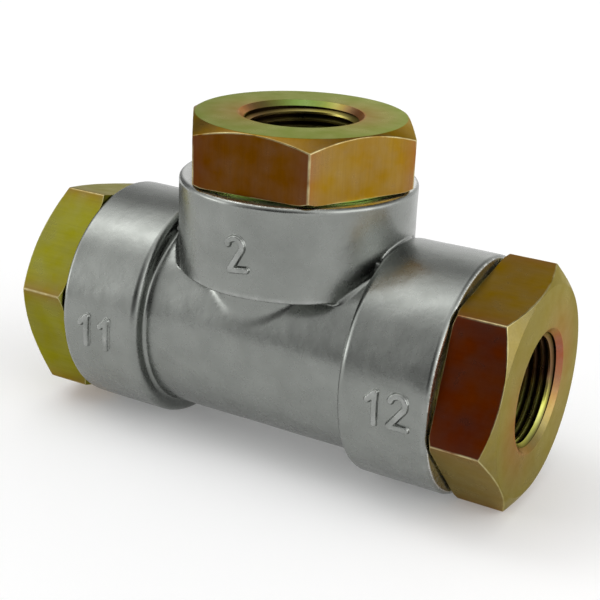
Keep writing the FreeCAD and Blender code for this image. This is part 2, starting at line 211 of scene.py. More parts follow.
def make_floor():
    """A wide pale floor for the collars to stand on, which looks nearly white."""
    material, tree = new_material("studio_floor")
    rays = add(tree, "ShaderNodeLightPath").outputs
    seen = maths(tree, "ADD", rays["Is Camera Ray"], rays["Is Glossy Ray"])
    seen = maths(tree, "ADD", seen, rays["Is Transmission Ray"], clamp=True)
    surface(tree, {
        "Base Color": grey(0.86),
        "Roughness": 0.9,
        "Emission Color": grey(1.0),
        "Emission Strength": maths(tree, "MULTIPLY", seen, FLOOR_GLOW),
    })
    form = bmesh.new()
    bmesh.ops.create_circle(form, cap_ends=True, segments=64, radius=FLOOR_RADIUS)
    mesh = bpy.data.meshes.new("floor")
    form.to_mesh(mesh)
    form.free()
    mesh.materials.append(material)
    floor = new_object("floor", mesh)


make_world()
make_floor()

# %% [markdown]
# The casting was poured in a mould, so all its edges are a little round and small fillets lie in
# its corners. Booleans and bevels make such a meeting of cylinders badly, and a form written as a
# distance makes it well: a function says how far a point lies outside the metal, and two rules
# join forms. One rounds the edge of what two forms share, the other lays a fillet in the crease
# where they meet.

# %% The casting as a distance
TUBE_RADIUS = 20.25
NECK_RADIUS = 18.6
COLLAR_END = 22.5
BRANCH_FOOT = BRANCH_RIM - 18.2
RIM_ROUND = 0.9
STEP_ROUND = 1.3
FOOT_ROUND = 0.5
STEP_CREASE = 0.8
NECK_CREASE = 0.6
COLLAR_CREASE = 0.7
# how far the tube and the neck reach into the collars that they meet
TUBE_LAP = 2.0
NECK_LAP = 1.0


def shared(a, b, rounding):
    """The form inside both a and b, with its edge rounded."""
    outside = np.hypot(np.maximum(a + rounding, 0), np.maximum(b + rounding, 0))
    return np.minimum(np.maximum(a, b), -rounding) + outside


def joined(a, b, fillet):
    """The form made of a and b, with a fillet in their crease."""
    near = np.hypot(np.maximum(fillet - a, 0), np.maximum(fillet - b, 0))
    return np.maximum(np.minimum(a, b), fillet) - near


def body_distance(p, soften=1.0):
    """How far points lie outside the plain casting. Its creases can be softened for a while."""
    x, y, z = p.T
    from_run = np.hypot(y, z)
    from_branch = np.hypot(x, y)
    tube = np.maximum(from_run - TUBE_RADIUS, np.abs(x) - COLLAR_END - TUBE_LAP)
    ends = shared(from_run - COLLAR_RADIUS, np.abs(x) - HALF_RUN, RIM_ROUND)
    ends = shared(ends, COLLAR_END - np.abs(x), STEP_ROUND)
    neck = np.maximum(from_branch - NECK_RADIUS, np.maximum(z - BRANCH_FOOT - NECK_LAP, -z))
    branch = shared(from_branch - COLLAR_RADIUS, z - BRANCH_RIM, RIM_ROUND)
    branch = shared(branch, BRANCH_FOOT - z, FOOT_ROUND)
    run = joined(tube, ends, STEP_CREASE * soften)
    return joined(joined(run, neck, NECK_CREASE * soften), branch, COLLAR_CREASE * soften)


# %% [markdown]
# The port numbers stand up from the collars, because they are cut into the mould. Each digit is
# a path in a small drawing of its own, laid round the collar. The nearer a point is to the path,
# the higher the metal stands there, with a flat top and soft sides. The whole casting gets a
# faint waviness too, as a poured surface has.

# %% Raised port numbers
STROKE_TOP = 0.42
STROKE_FOOT = 0.78
STROKE_RISE = 0.6
SWEEP = np.radians(np.linspace(165, -42, 16))
BOW = [(1.62 + 1.55 * cos(t), 4.65 + 1.55 * sin(t)) for t in SWEEP]
PATHS = {"1": [(0.0, 4.55), (1.55, 6.2), (1.55, 0.0)], "2": BOW + [(0.0, 0.0), (3.5, 0.0)]}
# above this height a number lies on the branch's collar
ON_BRANCH = BRANCH_FOOT + 1
# no digit reaches farther than this from its corner
DIGIT_ROOM = (8, 9)
# each digit: the digit, what it is laid round, its lower left corner, its turn and its size
DIGITS = [
    ("2", "branch", (-0.45, 19.2), 7, 0.97),
    ("1", "run", (-36.2, -3.85), -4, 0.97),
    ("1", "run", (-31.4, -3.8), -5, 0.97),
    ("1", "run", (29.0, -3.3), 0, 0.97),
    ("2", "run", (33.45, -3.0), 0, 0.98),
]


def digit_path(digit, corner, turn, size):
    """Points of a digit's path, turned about its lower left corner."""
    path = np.array(PATHS[digit])
    along = np.array((cos(radians(turn)), sin(radians(turn)))) * size
    return corner + path[:, :1] * along + path[:, 1:] * (-along[1], along[0])


def distance_to_path(u, v, path):
    """Distance from points of a drawing to the nearest stroke of a path."""
    best = np.full(u.shape, np.inf)
    for (ax, ay), (bx, by) in zip(path[:-1], path[1:]):
        dx, dy = bx - ax, by - ay
        share = np.clip(((u - ax) * dx + (v - ay) * dy) / (dx * dx + dy * dy), 0, 1)
        best = np.minimum(best, np.hypot(u - ax - share * dx, v - ay - share * dy))
    return best


def digit_distance(p):
    """Distance along the surface from points to the nearest stroke of any number."""
    x, y, z = p.T
    drawings = {
        "branch": (COLLAR_RADIUS * np.arctan2(x, -y), z),
        "run": (x, COLLAR_RADIUS * np.arctan2(z, -y)),
    }
    best = np.full(len(p), np.inf)
    for digit, laid_on, corner, turn, size in DIGITS:
        u, v = drawings[laid_on]
        near = (z > ON_BRANCH) == (laid_on == "branch")
        near &= (np.abs(u - corner[0]) < DIGIT_ROOM[0]) & (np.abs(v - corner[1]) < DIGIT_ROOM[1])
        away = distance_to_path(u[near], v[near], digit_path(digit, corner, turn, size))
        best[near] = np.minimum(best[near], away)
    return best


# each wave: how many radians it turns in a millimetre of x, y and z, its phase and its height
WAVES = [
    ((0.31, 0.22, 0.0), 1.3, 0.022),
    ((0.0, -0.25, 0.27), 0.4, 0.022),
    ((0.0, 0.62, 0.78), 2.1, 0.009),
    ((-0.51, 0.0, 0.85), 0.0, 0.009),
]


def waviness(p):
    """A faint unevenness, in millimetres, made of a few long waves."""
    return sum(height * np.sin(p @ np.array(turns) + phase) for turns, phase, height in WAVES)


def casting_distance(p):
    """How far points lie outside the casting with its numbers, without its bores."""
    rise = np.clip((STROKE_FOOT - digit_distance(p)) / (STROKE_FOOT - STROKE_TOP), 0, 1)
    rise = rise * rise * (3 - 2 * rise)
    return body_distance(p) - STROKE_RISE * rise - waviness(p)


def unit(vectors, least=1e-9):
    """Vectors at length 1."""
    return vectors / np.maximum(np.linalg.norm(vectors, axis=1), least)[:, None]


def uphill(distance, p, reach=0.02):
    """The direction in which a distance grows fastest, at each point, as a raw gradient."""
    rises = [distance(p + axis) - distance(p - axis) for axis in np.eye(3) * reach]
    return np.stack(rises, axis=1) / (2 * reach)


# %% [markdown]
# A distance has no faces yet, so the voxel remesher covers a rough solid of turned shapes with
# even small faces. Each vertex then slides along the distance's gradient onto the true surface.
# Where that turns quickly, at rims, creases and numbers, the faces are split and slid again, so
# that these come out crisp.

# %% Turned solids and meshes from arrays
def mirrored(half):
    """An outline of (radius, height) together with its mirror image at height 0."""
    return [(r, -h) for r, h in reversed(half)] + half


def turned_solid(outline, steps):
    """Vertices and faces of an outline of (radius, height) turned about Z, pole to pole."""
    rings = outline[1:-1]
    angles = np.linspace(0, 2 * pi, steps, endpoint=False)
    verts = [(r * cos(a), r * sin(a), h) for r, h in rings for a in angles]
    verts += [(0, 0, outline[0][1]), (0, 0, outline[-1][1])]
    bottom, top = len(verts) - 2, len(verts) - 1
    faces = []
    for j in range(steps):
        k = (j + 1) % steps
        faces.append((bottom, k, j))
        faces.append((top, (len(rings) - 1) * steps + j, (len(rings) - 1) * steps + k))
        for i in range(len(rings) - 1):
            low, high = i * steps, (i + 1) * steps
            faces.append((low + j, low + k, high + k, high + j))
    return np.array(verts), faces


def along_x(verts):
    """Turn points so that their Z axis comes to lie along X."""
    return verts[:, [2, 0, 1]]


def new_mesh(name, verts, faces):
    """A mesh from arrays, in millimetres from the crossing of the axes."""
    mesh = bpy.data.meshes.new(name)
    mesh.from_pydata([tuple(v) for v in verts], [], faces)
    mesh.validate()
    return mesh


def applied(thing):
    """The mesh that an object's modifiers make. The object itself goes."""
    seen = bpy.context.evaluated_depsgraph_get()
    mesh = bpy.data.meshes.new_from_object(thing.evaluated_get(seen))
    bpy.data.objects.remove(thing)
    return mesh


def read(items, key, width=1, kind=float):
    """One property of all of a mesh's items, as an array."""
    flat = np.empty(len(items) * width, kind)
    items.foreach_get(key, flat)
    return flat.reshape(-1, width) if width > 1 else flat


def positions(mesh):
    """A mesh's vertices as an array."""
    return read(mesh.vertices, "co", 3)


def set_positions(mesh, verts):
    """Write an array back to a mesh's vertices."""
    mesh.vertices.foreach_set("co", verts.ravel())
    mesh.update()


# %% The casting's outer skin
ROUGH_STEPS = 96
VOXEL = 0.8
SLIDES = 4
SETTLE_ROUNDS = 2
# in a crease the gradient is short, and this keeps the slides along it short too
LEAST_SLOPE = 0.2
SHARPEST_TURN = radians(28)
# wide fillets first lead the mesh into its creases, and narrower ones follow
SOFTENINGS = (4.0, 2.5, 1.6, 1.0)
# how far from a number's strokes the faces are split, and how near the collar they lie
DIGIT_REACHES = (2.2, 1.6, 1.0)
DIGIT_DEPTH = 1.0


def rough_casting():
    """A plain union of turned shapes with even faces."""
    run = mirrored([
        (TUBE_RADIUS, COLLAR_END), (COLLAR_RADIUS, COLLAR_END),
        (COLLAR_RADIUS, HALF_RUN), (0, HALF_RUN),
    ])
    branch = [
        (0, 0), (NECK_RADIUS, 0),
        (NECK_RADIUS, BRANCH_FOOT), (COLLAR_RADIUS, BRANCH_FOOT),
        (COLLAR_RADIUS, BRANCH_RIM), (0, BRANCH_RIM),
    ]
    run_verts, run_faces = turned_solid(run, ROUGH_STEPS)
    branch_verts, branch_faces = turned_solid(branch, ROUGH_STEPS)
    shifted = [tuple(i + len(run_verts) for i in face) for face in branch_faces]
    verts = np.concatenate([along_x(run_verts), branch_verts])
    rough = new_object("rough", new_mesh("rough", verts, run_faces + shifted))
    remesh = rough.modifiers.new("even_faces", "REMESH")
    remesh.mode = "VOXEL"
    remesh.voxel_size = VOXEL
    return applied(rough)


def split(mesh, wanted):
    """Cut the chosen faces in four."""
    form = bmesh.new()
    form.from_mesh(mesh)
    form.faces.ensure_lookup_table()
    edges = {edge for i in np.flatnonzero(wanted) for edge in form.faces[i].edges}
    bmesh.ops.subdivide_edges(form, edges=list(edges), cuts=1, use_grid_fill=True)
    bmesh.ops.triangulate(form, faces=[face for face in form.faces if len(face.verts) > 4])
    form.to_mesh(mesh)
    form.free()


def face_corners(mesh):
    """Where each face's corners start in the mesh's list, and the vertex of each corner."""
    return read(mesh.polygons, "loop_start", 1, int), read(mesh.loops, "vertex_index", 1, int)


def per_corner(values, starts, owners):
    """Each face's value, once for each of its corners."""
    return np.repeat(values, np.diff(np.append(starts, len(owners))), axis=0)


def near_digits(mesh, reach):
    """Which faces lie on a collar within reach of a number's strokes."""
    centres = read(mesh.polygons, "center", 3)
    x, y, z = centres.T
    radius = np.where(z > ON_BRANCH, np.hypot(x, y), np.hypot(y, z))
    on_collar = (np.abs(radius - COLLAR_RADIUS) < DIGIT_DEPTH) & (y < 0)
    return on_collar & (digit_distance(centres) < reach)


def bent_faces(mesh, distance):
    """Which faces the true surface turns across too sharply."""
    starts, owners = face_corners(mesh)
    normals = unit(uphill(distance, positions(mesh)))[owners]
    middle = unit(np.add.reduceat(normals, starts))
    agreement = (normals * per_corner(middle, starts, owners)).sum(axis=1)
    return np.minimum.reduceat(agreement, starts) < cos(SHARPEST_TURN / 2)


def even_out(mesh):
    """Move each vertex to the middle of its neighbours."""
    ends = read(mesh.edges, "vertices", 2, int)
    verts = positions(mesh)
    total = np.zeros_like(verts)
    np.add.at(total, ends[:, 0], verts[ends[:, 1]])
    np.add.at(total, ends[:, 1], verts[ends[:, 0]])
    set_positions(mesh, total / np.bincount(ends.ravel(), minlength=len(verts))[:, None])


def slide_to(distance, verts):
    """Move points along the gradient until the distance is zero."""
    for _ in range(SLIDES):
        slope = uphill(distance, verts)
        length = np.maximum((slope**2).sum(axis=1), LEAST_SLOPE)
        verts = verts - slope * (distance(verts) / length)[:, None]
    return verts


def settle(mesh, distance):
    """Slide a mesh onto its surface and even it out in turns."""
    for _ in range(SETTLE_ROUNDS):
        set_positions(mesh, slide_to(distance, positions(mesh)))
        even_out(mesh)
    set_positions(mesh, slide_to(distance, positions(mesh)))


casting = rough_casting()
for soften in SOFTENINGS:
    settle(casting, lambda p: body_distance(p, soften))
for _ in range(2):
    split(casting, bent_faces(casting, body_distance))
    settle(casting, body_distance)
for reach in DIGIT_REACHES:
    split(casting, near_digits(casting, reach))
settle(casting, casting_distance)
print("casting skin:", len(casting.polygons), "faces, worst error",
      round(float(np.abs(casting_distance(positions(casting))).max()), 4), "mm")

# %% [markdown]
# The bores are machined after casting, so their edges are crisp: turned solids cut them with a
# boolean. Shading normals come from the distance on the skin, because those are exact, and from
# the faces inside the bores.

# %% Bores
JOINT_RADIUS = 18.0
RECESS_RADIUS = 18.5
RECESS_DEPTH = 2.4
JOINT_DEPTH = 13.7
CHAMBER_RADIUS = 15.0
OUTLET_RADIUS = 10.0
BORE_STEPS = 128
PAST_RIM = 2.0
SHARP_BORE_EDGE = radians(30)
# a corner lies on the skin if it is this near to it, and its face looks about the same way
SKIN_ERROR = 0.01
FACE_AGREES = 0.7


def bore_outline(radius, rim):
    """A bore from its narrow part out past the rim."""
    return [
        (radius, rim - JOINT_DEPTH), (JOINT_RADIUS, rim - JOINT_DEPTH),
        (JOINT_RADIUS, rim - RECESS_DEPTH), (RECESS_RADIUS, rim - RECESS_DEPTH),
        (RECESS_RADIUS, rim + PAST_RIM), (0, rim + PAST_RIM),
    ]


def cut_bores(mesh):
    """Take the run's and the branch's bores out of the casting."""
    run = mirrored(bore_outline(CHAMBER_RADIUS, HALF_RUN))
    branch = [(0, 0), (OUTLET_RADIUS, 0)] + bore_outline(OUTLET_RADIUS, BRANCH_RIM)
    whole = new_object("casting", mesh)
    for name, outline, turned in (("run_bore", run, along_x), ("branch_bore", branch, np.array)):
        verts, faces = turned_solid(outline, BORE_STEPS)
        cut = whole.modifiers.new(name, "BOOLEAN")
        cut.operation = "DIFFERENCE"
        cut.solver = "EXACT"
        cut.object = new_object(name, new_mesh(name, turned(verts), faces))
    result = applied(whole)
    for name in ("run_bore", "branch_bore"):
        bpy.data.objects.remove(bpy.data.objects[name])
    return result


def set_normals(mesh, distance):
    """Exact normals on the skin, and flat or smooth ones by angle inside the bores."""
    mesh.set_sharp_from_angle(angle=SHARP_BORE_EDGE)
    mesh.update()
    corners = read(mesh.corner_normals, "vector", 3)
    verts = positions(mesh)
    slope = unit(uphill(distance, verts))
    on_skin = np.abs(distance(verts)) < SKIN_ERROR
    starts, owners = face_corners(mesh)
    skin_faces = np.logical_and.reduceat(on_skin[owners], starts)
    facing = per_corner(read(mesh.polygons, "normal", 3), starts, owners)
    agrees = (facing * slope[owners]).sum(axis=1) > FACE_AGREES
    exact = per_corner(skin_faces, starts, owners) & agrees
    corners[exact] = slope[owners][exact]
    mesh.normals_split_custom_set(corners.tolist())


casting = cut_bores(casting)
set_normals(casting, casting_distance)

# %% [markdown]
# Creases are painted darker as shade, and what stands out lighter, as wear from handling and as a
# painted highlight. Both can be read from the distance: a step out from a hollow is still close to
# metal, and a step in from an edge is soon outside again. A third mask marks what is machined:
# bores and the faces of collars.

# %% Crease and edge masks
MASK_STEP = 1.2
MASK_REACH = 0.1
SKIN_DEPTH = 0.7
MACHINED_SKIN = 0.1


def store(mesh, name, values):
    """Keep one number, or one place, for each vertex on the mesh."""
    kind, key = ("FLOAT", "value") if values.ndim == 1 else ("FLOAT_VECTOR", "vector")
    mesh.attributes.new(name, kind, "POINT").data.foreach_set(key, values.ravel())


def mask_casting(mesh):
    """Store how hollow, how prominent and how machined the casting is at each vertex."""
    verts = positions(mesh)
    slope = unit(uphill(body_distance, verts, MASK_REACH))
    outwards = body_distance(verts + slope * MASK_STEP)
    inwards = body_distance(verts - slope * MASK_STEP)
    skin = np.abs(body_distance(verts)) < SKIN_DEPTH
    # the hollow mask is for painted shade: the shader darkens creases by it
    store(mesh, "hollow", np.clip(1 - outwards / MASK_STEP, 0, 1) * skin)
    # the edge mask is for wear and a painted highlight: the shader lightens edges by it
    store(mesh, "edge", np.clip(1 + inwards / MASK_STEP, 0, 1) * skin)
    past_rim = np.maximum(np.abs(verts[:, 0]) - HALF_RUN, verts[:, 2] - BRANCH_RIM)
    store(mesh, "machined", ((past_rim > -MACHINED_SKIN) | ~skin).astype(float))


mask_casting(casting)
casting.transform(TO_FRAME)
housing = new_object("cast_housing", casting)

# %% [markdown]
# Effects that several metals share are node groups with named inputs and one output. "Clouds" is
# the slow unevenness of any real surface, "Fine grain" the texture of blasting or brushing, and
# the edge group breaks up an edge mask that lightens edges, partly as wear and partly as a painted
# highlight, because real wear is never even.

# %% Shader groups
def new_group(name, inputs, outputs, kind="ShaderNodeTree"):
    """A node group with named sockets: (name, kind) or (name, kind, default value)."""
    group = bpy.data.node_groups.new(name, kind)
    for in_out, sockets in (("INPUT", inputs), ("OUTPUT", outputs)):
        for socket_name, socket_kind, *default in sockets:
            socket = group.interface.new_socket(
                socket_name, in_out=in_out, socket_type="NodeSocket" + socket_kind)
            if default:
                socket.default_value = default[0]
    return group, add(group, "NodeGroupInput").outputs, add(group, "NodeGroupOutput").inputs


def noise(tree, vector, scale, detail):
    """Soft noise about one half."""
    values = {"Vector": vector, "Scale": scale, "Detail": detail}
    return add(tree, "ShaderNodeTexNoise", values).outputs["Fac"]


def clouds_group():
    """Slow unevenness between 0 and 1."""
    group, given, made = new_group("Clouds", [
        ("Vector", "Vector"), ("Scale", "Float", 60.0), ("Contrast", "Float", 1.0),
    ], [("Mask", "Float")])
    centred = maths(group, "SUBTRACT", noise(group, given["Vector"], given["Scale"], 3.0), 0.5)
    spread = maths(group, "MULTIPLY", centred, given["Contrast"])
    group.links.new(maths(group, "ADD", spread, 0.5, clamp=True), made["Mask"])
    return group


def grain_group():
    """Fine texture for a bump: round grain, or brushed where it is stretched."""
    group, given, made = new_group("Fine grain", [
        ("Vector", "Vector"), ("Scale", "Float", 2500.0), ("Stretch", "Vector", (1.0, 1.0, 1.0)),
    ], [("Height", "Float")])
    stretched = add(group, "ShaderNodeVectorMath", {0: given["Vector"], 1: given["Stretch"]},
                    operation="MULTIPLY").outputs[0]
    group.links.new(noise(group, stretched, given["Scale"], 2.0), made["Height"])
    return group


def wear_and_highlight_edge_group():
    """An edge mask that comes and goes, for edges lightened as wear and as a painted highlight."""
    group, given, made = new_group("Wear and highlight edge", [
        ("Edge", "Float"), ("Vector", "Vector"), ("Scale", "Float", 400.0),
        ("Amount", "Float", 1.0),
    ], [("Mask", "Float")])
    scratches = noise(group, given["Vector"], given["Scale"], 4.0)
    values = {"Value": scratches, "From Min": 0.35, "From Max": 0.62}
    broken = add(group, "ShaderNodeMapRange", values).outputs[0]
    mask = maths(group, "MULTIPLY", given["Edge"], broken)
    mask = maths(group, "MULTIPLY", mask, given["Amount"], clamp=True)
    group.links.new(mask, made["Mask"])
    return group


CLOUDS = clouds_group()
GRAIN = grain_group()
WEAR_AND_HIGHLIGHT_EDGE = wear_and_highlight_edge_group()


def placed(tree, group, **values):
    """The one output of a group node. It lies on the object unless it is given a vector."""
    if "Vector" not in values:
        values["Vector"] = add(tree, "ShaderNodeTexCoord").outputs["Object"]
    return add(tree, "ShaderNodeGroup", values, node_tree=group).outputs[0]


# a Mix node has sockets for each kind of value, and these are the places of a colour's
MIX_FACTOR, MIX_FIRST, MIX_SECOND, MIX_RESULT = 0, 6, 7, 2


def mixed(tree, factor, first, second):
    """One colour laid over another by a mask."""
    values = {MIX_FACTOR: factor, MIX_FIRST: first, MIX_SECOND: second}
    return add(tree, "ShaderNodeMix", values, data_type="RGBA").outputs[MIX_RESULT]


def ranged(tree, value, low, high):
    """Map a mask of 0 to 1 onto a range."""
    values = {"Value": value, "To Min": low, "To Max": high}
    return add(tree, "ShaderNodeMapRange", values).outputs["Result"]


def attribute(tree, name, output="Fac"):
    """A value or colour stored on the mesh."""
    return add(tree, "ShaderNodeAttribute", attribute_name=name).outputs[output]


def bumped(tree, height, strength, distance, under=None):
    """A bump node's normal, over another one where it is given."""
    values = {"Height": height, "Strength": strength, "Distance": distance}
    if under:
        values["Normal"] = under
    return add(tree, "ShaderNodeBump", values).outputs["Normal"]


# %% [markdown]
# The casting is satin aluminium, blasted and a little stained. It is a full metal, so its colour
# is the tint of its reflections, and its roughness spreads them into broad soft bands. Creases
# are painted darker as shade, and edges a touch brighter, as wear and as a painted highlight.

# %% Casting material
def casting_material():
    """Satin cast aluminium."""
    material, tree = new_material("satin_cast_aluminium")
    slow = placed(tree, CLOUDS, Scale=55.0, Contrast=1.6)
    blotch = placed(tree, CLOUDS, Scale=170.0, Contrast=2.6)
    fine = placed(tree, CLOUDS, Scale=420.0, Contrast=1.2)
    grain = placed(tree, GRAIN, Scale=2200.0)
    wear_and_highlight = placed(tree, WEAR_AND_HIGHLIGHT_EDGE, Edge=attribute(tree, "edge"), Scale=350.0, Amount=0.8)
    stained = ranged(tree, blotch, 0.0, 0.4)
    painted_crease_shade = ranged(tree, attribute(tree, "hollow"), 0.0, 0.5)
    colour = mixed(tree, slow, (0.196, 0.206, 0.193, 1), (0.236, 0.246, 0.230, 1))
    colour = mixed(tree, stained, colour, (0.305, 0.318, 0.300, 1))
    colour = mixed(tree, attribute(tree, "machined"), colour, (0.62, 0.63, 0.61, 1))
    # wear and painted highlight: edges lightened towards a pale grey
    colour = mixed(tree, wear_and_highlight, colour, (0.47, 0.48, 0.465, 1))
    # painted shade: creases darkened towards a dark grey
    colour = mixed(tree, painted_crease_shade, colour, (0.13, 0.135, 0.125, 1))
    surface(tree, {
        "Base Color": colour,
        "Metallic": 1.0,
        "Roughness": ranged(tree, fine, 0.22, 0.32),
        "Normal": bumped(tree, grain, 0.10, 0.00006, bumped(tree, blotch, 1.0, 0.00004)),
    })
    return material


housing.data.materials.append(casting_material())
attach(housing, "valve_body")
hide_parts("housing")

# %% [markdown]
# A port is turned from hexagon bar, so every section through its axis has the same outline,
# apart from how far out the hexagon reaches. The mesh follows that rule: a ring of sections with
# the same number of points each, and small rounds worked into their corners.

# %% One section of a port
HEX_FLAT = 20.5
HEX_CORNER_ROUND = 0.35
HEX_FACE_RADIUS = 20.25
HEX_BACK_DROP = 0.5
HALF_SECTOR = radians(30)
CHAMFER_SLOPE = tan(radians(30))
# the lower chamfer fades out on the flats, but never quite
LEAST_BEVEL = 0.02
LEAST_LEDGE = 0.03
WASHER_RADIUS = 20.1
WASHER_HEIGHT = 0.45
GROOVE_RADIUS = 16.4
SPIGOT_RADIUS = 17.95
SPIGOT_LENGTH = 13.3
SPIGOT_CHAMFER = 0.9
NOSE_RADIUS = 14.9
NOSE_LENGTH = 7.8
LIP_HEIGHT = 1.4
LIP_RADIUS = 8.5
LIP_FLANK = 1.1
LIP_BEVEL = 0.5
INLET_BORE = 7.0
OUTLET_BORE = 8.0
MOUTH = 1.0
THREAD_END = PORT_REACH - 15.0
CONE_SLOPE = tan(radians(59))


def port_section(reach, has_seat):
    """Corners of a section with the hexagon at this radius: (radius, height, rounding)."""
    top = PORT_REACH
    end = -SPIGOT_LENGTH
    through = INLET_BORE if has_seat else OUTLET_BORE
    inner_end = end - NOSE_LENGTH - LIP_HEIGHT if has_seat else end
    corner = HEX_FLAT / cos(HALF_SECTOR)
    back = corner - HEX_BACK_DROP / CHAMFER_SLOPE
    cone_end = THREAD_END - (PORT_RADIUS - through) / CONE_SLOPE
    section = [
        (PORT_RADIUS + MOUTH, top, 0.08),
        (HEX_FACE_RADIUS, top, 0.25),
        (reach, top - (reach - HEX_FACE_RADIUS) * CHAMFER_SLOPE, 0.22),
        (reach, WASHER_HEIGHT + max(reach - back, LEAST_BEVEL) * CHAMFER_SLOPE, 0.1),
        (min(back, reach - LEAST_LEDGE), WASHER_HEIGHT, 0.04),
        (WASHER_RADIUS, WASHER_HEIGHT, 0.03),
        (WASHER_RADIUS, 0, 0.08),
        (GROOVE_RADIUS, 0, 0.1),
        (GROOVE_RADIUS, -RECESS_DEPTH, 0.1),
        (SPIGOT_RADIUS, -RECESS_DEPTH, 0.1),
        (SPIGOT_RADIUS, end + SPIGOT_CHAMFER, 0.1),
        (SPIGOT_RADIUS - SPIGOT_CHAMFER, end, 0.1),
    ]
    if has_seat:
        section += [
            (NOSE_RADIUS, end, 0.1),
            (NOSE_RADIUS, end - NOSE_LENGTH, 0.15),
            (LIP_RADIUS + LIP_FLANK, end - NOSE_LENGTH, 0.1),
            (LIP_RADIUS, inner_end, 0.1),
        ]
    section += [
        (through + LIP_BEVEL, inner_end, 0.08),
        (through, inner_end + LIP_BEVEL, 0.08),
        (through, cone_end, 0.1),
        (PORT_RADIUS, THREAD_END, 0.05),
        (PORT_RADIUS, top - MOUTH, 0.04),
    ]
    return section


ROUND_STEPS = 3
# the most that a round may take of the way to the next corner
ROUND_SHARE = 0.3
# the upper and lower edge of the hexagon, in the list of corners: wear and a painted highlight
WEAR_AND_HIGHLIGHT_CORNERS = (2, 3)
# extra points beside each round keep the masks narrow: their distance, and the most that this
# may be of the way to the next corner
GUARDS = ((0.12, 0.08), (0.5, 0.15))


def rounded_section(corners):
    """Points of a closed section with each corner rounded, and a mask of wear and painted highlight
    for each point.
    """
    points, edge = [], []
    count = len(corners)
    for i, (r, h, rounding) in enumerate(corners):
        here = Vector((r, h))
        before = Vector(corners[i - 1][:2])
        after = Vector(corners[(i + 1) % count][:2])
        to_before, to_after = before - here, after - here
        room = [to_before.length, to_after.length]
        to_before.normalize()
        to_after.normalize()
        turn = pi - to_before.angle(to_after)
        reach = min(rounding * tan(turn / 2), ROUND_SHARE * min(room))
        start, end = here + to_before * reach, here + to_after * reach
        for guard, share in reversed(GUARDS):
            points.append(start + to_before * min(guard, share * room[0]))
        for step in range(ROUND_STEPS + 1):
            t = step / ROUND_STEPS
            points.append(start * (1 - t) ** 2 + here * 2 * t * (1 - t) + end * t * t)
        for guard, share in GUARDS:
            points.append(end + to_after * min(guard, share * room[1]))
        plain = [0.0] * len(GUARDS)
        edge += plain + [float(i in WEAR_AND_HIGHLIGHT_CORNERS)] * (ROUND_STEPS + 1) + plain
    return [tuple(p) for p in points], edge


# %% The hexagon's outline by angle
FLAT_STEPS = 24
ARC_STEPS = 4
# extra angles beside each corner, in millimetres along the flat
CORNER_GUARDS = (0.15, 0.5, 1.2, 2.4)
# each corner's round is an arc about this point, this far out on the corner's line
ARC_CENTRE = (HEX_FLAT - HEX_CORNER_ROUND) / cos(HALF_SECTOR)
ARC_HALF_WIDTH = HEX_CORNER_ROUND * 0.5
# how far the mask of wear and painted highlight reaches from a corner, and over what width it fades
CORNER_EDGE_REACH = 0.12
CORNER_FADE = 0.2
FLAT_SKIN = 0.05


def hexagon_angles():
    """Angles round the port, closer together at the corners."""
    arc_half = atan2(ARC_HALF_WIDTH, ARC_CENTRE + HEX_CORNER_ROUND * cos(HALF_SECTOR))
    beside = [arc_half + guard / COLLAR_RADIUS for guard in CORNER_GUARDS]
    middle = np.linspace(beside[-1], 2 * HALF_SECTOR - beside[-1], FLAT_STEPS)[1:-1]
    within = list(np.linspace(-arc_half, arc_half, ARC_STEPS + 1))
    sector = within + beside + list(middle) + [2 * HALF_SECTOR - b for b in reversed(beside)]
    return np.array([radians(60 * k) + a for k in range(6) for a in sector])


def hexagon_reach(angles):
    """How far out the hexagon lies at these angles, and how far each is from its corner's."""
    off = (angles + HALF_SECTOR) % (2 * HALF_SECTOR) - HALF_SECTOR
    flat = HEX_FLAT / np.cos(HALF_SECTOR - np.abs(off))
    aside = ARC_CENTRE * np.sin(off)
    inside = np.maximum(HEX_CORNER_ROUND**2 - aside**2, 0)
    arc = ARC_CENTRE * np.cos(off) + np.sqrt(inside)
    on_arc = np.abs(aside) < ARC_HALF_WIDTH
    return np.where(on_arc, np.minimum(arc, flat), flat), np.abs(off)


def port_mesh(name, has_seat):
    """A port in its own place: washer face at height 0, face looking along +Z."""
    angles = hexagon_angles()
    reach, off_corner = hexagon_reach(angles)
    sections = [rounded_section(port_section(float(r), has_seat)) for r in reach]
    rows = len(sections[0][0])
    verts = []
    for angle, (points, _) in zip(angles, sections):
        verts += [(r * cos(angle), r * sin(angle), h) for r, h in points]
    faces = []
    for j in range(len(angles)):
        k = (j + 1) % len(angles)
        for i in range(rows):
            n = (i + 1) % rows
            faces.append((j * rows + i, j * rows + n, k * rows + n, k * rows + i))
    verts = np.array(verts)
    mesh = new_mesh(name, verts, faces)
    edge = np.array([wear for _, section_wear in sections for wear in section_wear])
    at_corner = 1 - (off_corner * COLLAR_RADIUS - CORNER_EDGE_REACH) / CORNER_FADE
    chamfer_foot = PORT_REACH - (reach - HEX_FACE_RADIUS) * CHAMFER_SLOPE
    on_flat = np.repeat(reach, rows) - np.hypot(verts[:, 0], verts[:, 1]) < FLAT_SKIN
    on_flat &= verts[:, 2] < np.repeat(chamfer_foot, rows)
    store(mesh, "edge", np.maximum(edge, np.repeat(np.clip(at_corner, 0, 1), rows) * on_flat))
    return mesh


# %% [markdown]
# The ports are zinc-plated and yellow-chromated. The chromate is a film so thin that light
# interferes in it, and its colour depends on its thickness: olive where it is thin, then gold and
# amber, and rose where it is thickest, at edges. Each flat has a colour of its own, stored on the
# mesh, partly the film's hue and partly painted light and shade, and the shader adds what drifts.

# %% Plating colours
OLIVE_GREEN = (0.160, 0.238, 0.054)
OLIVE = (0.212, 0.203, 0.024)
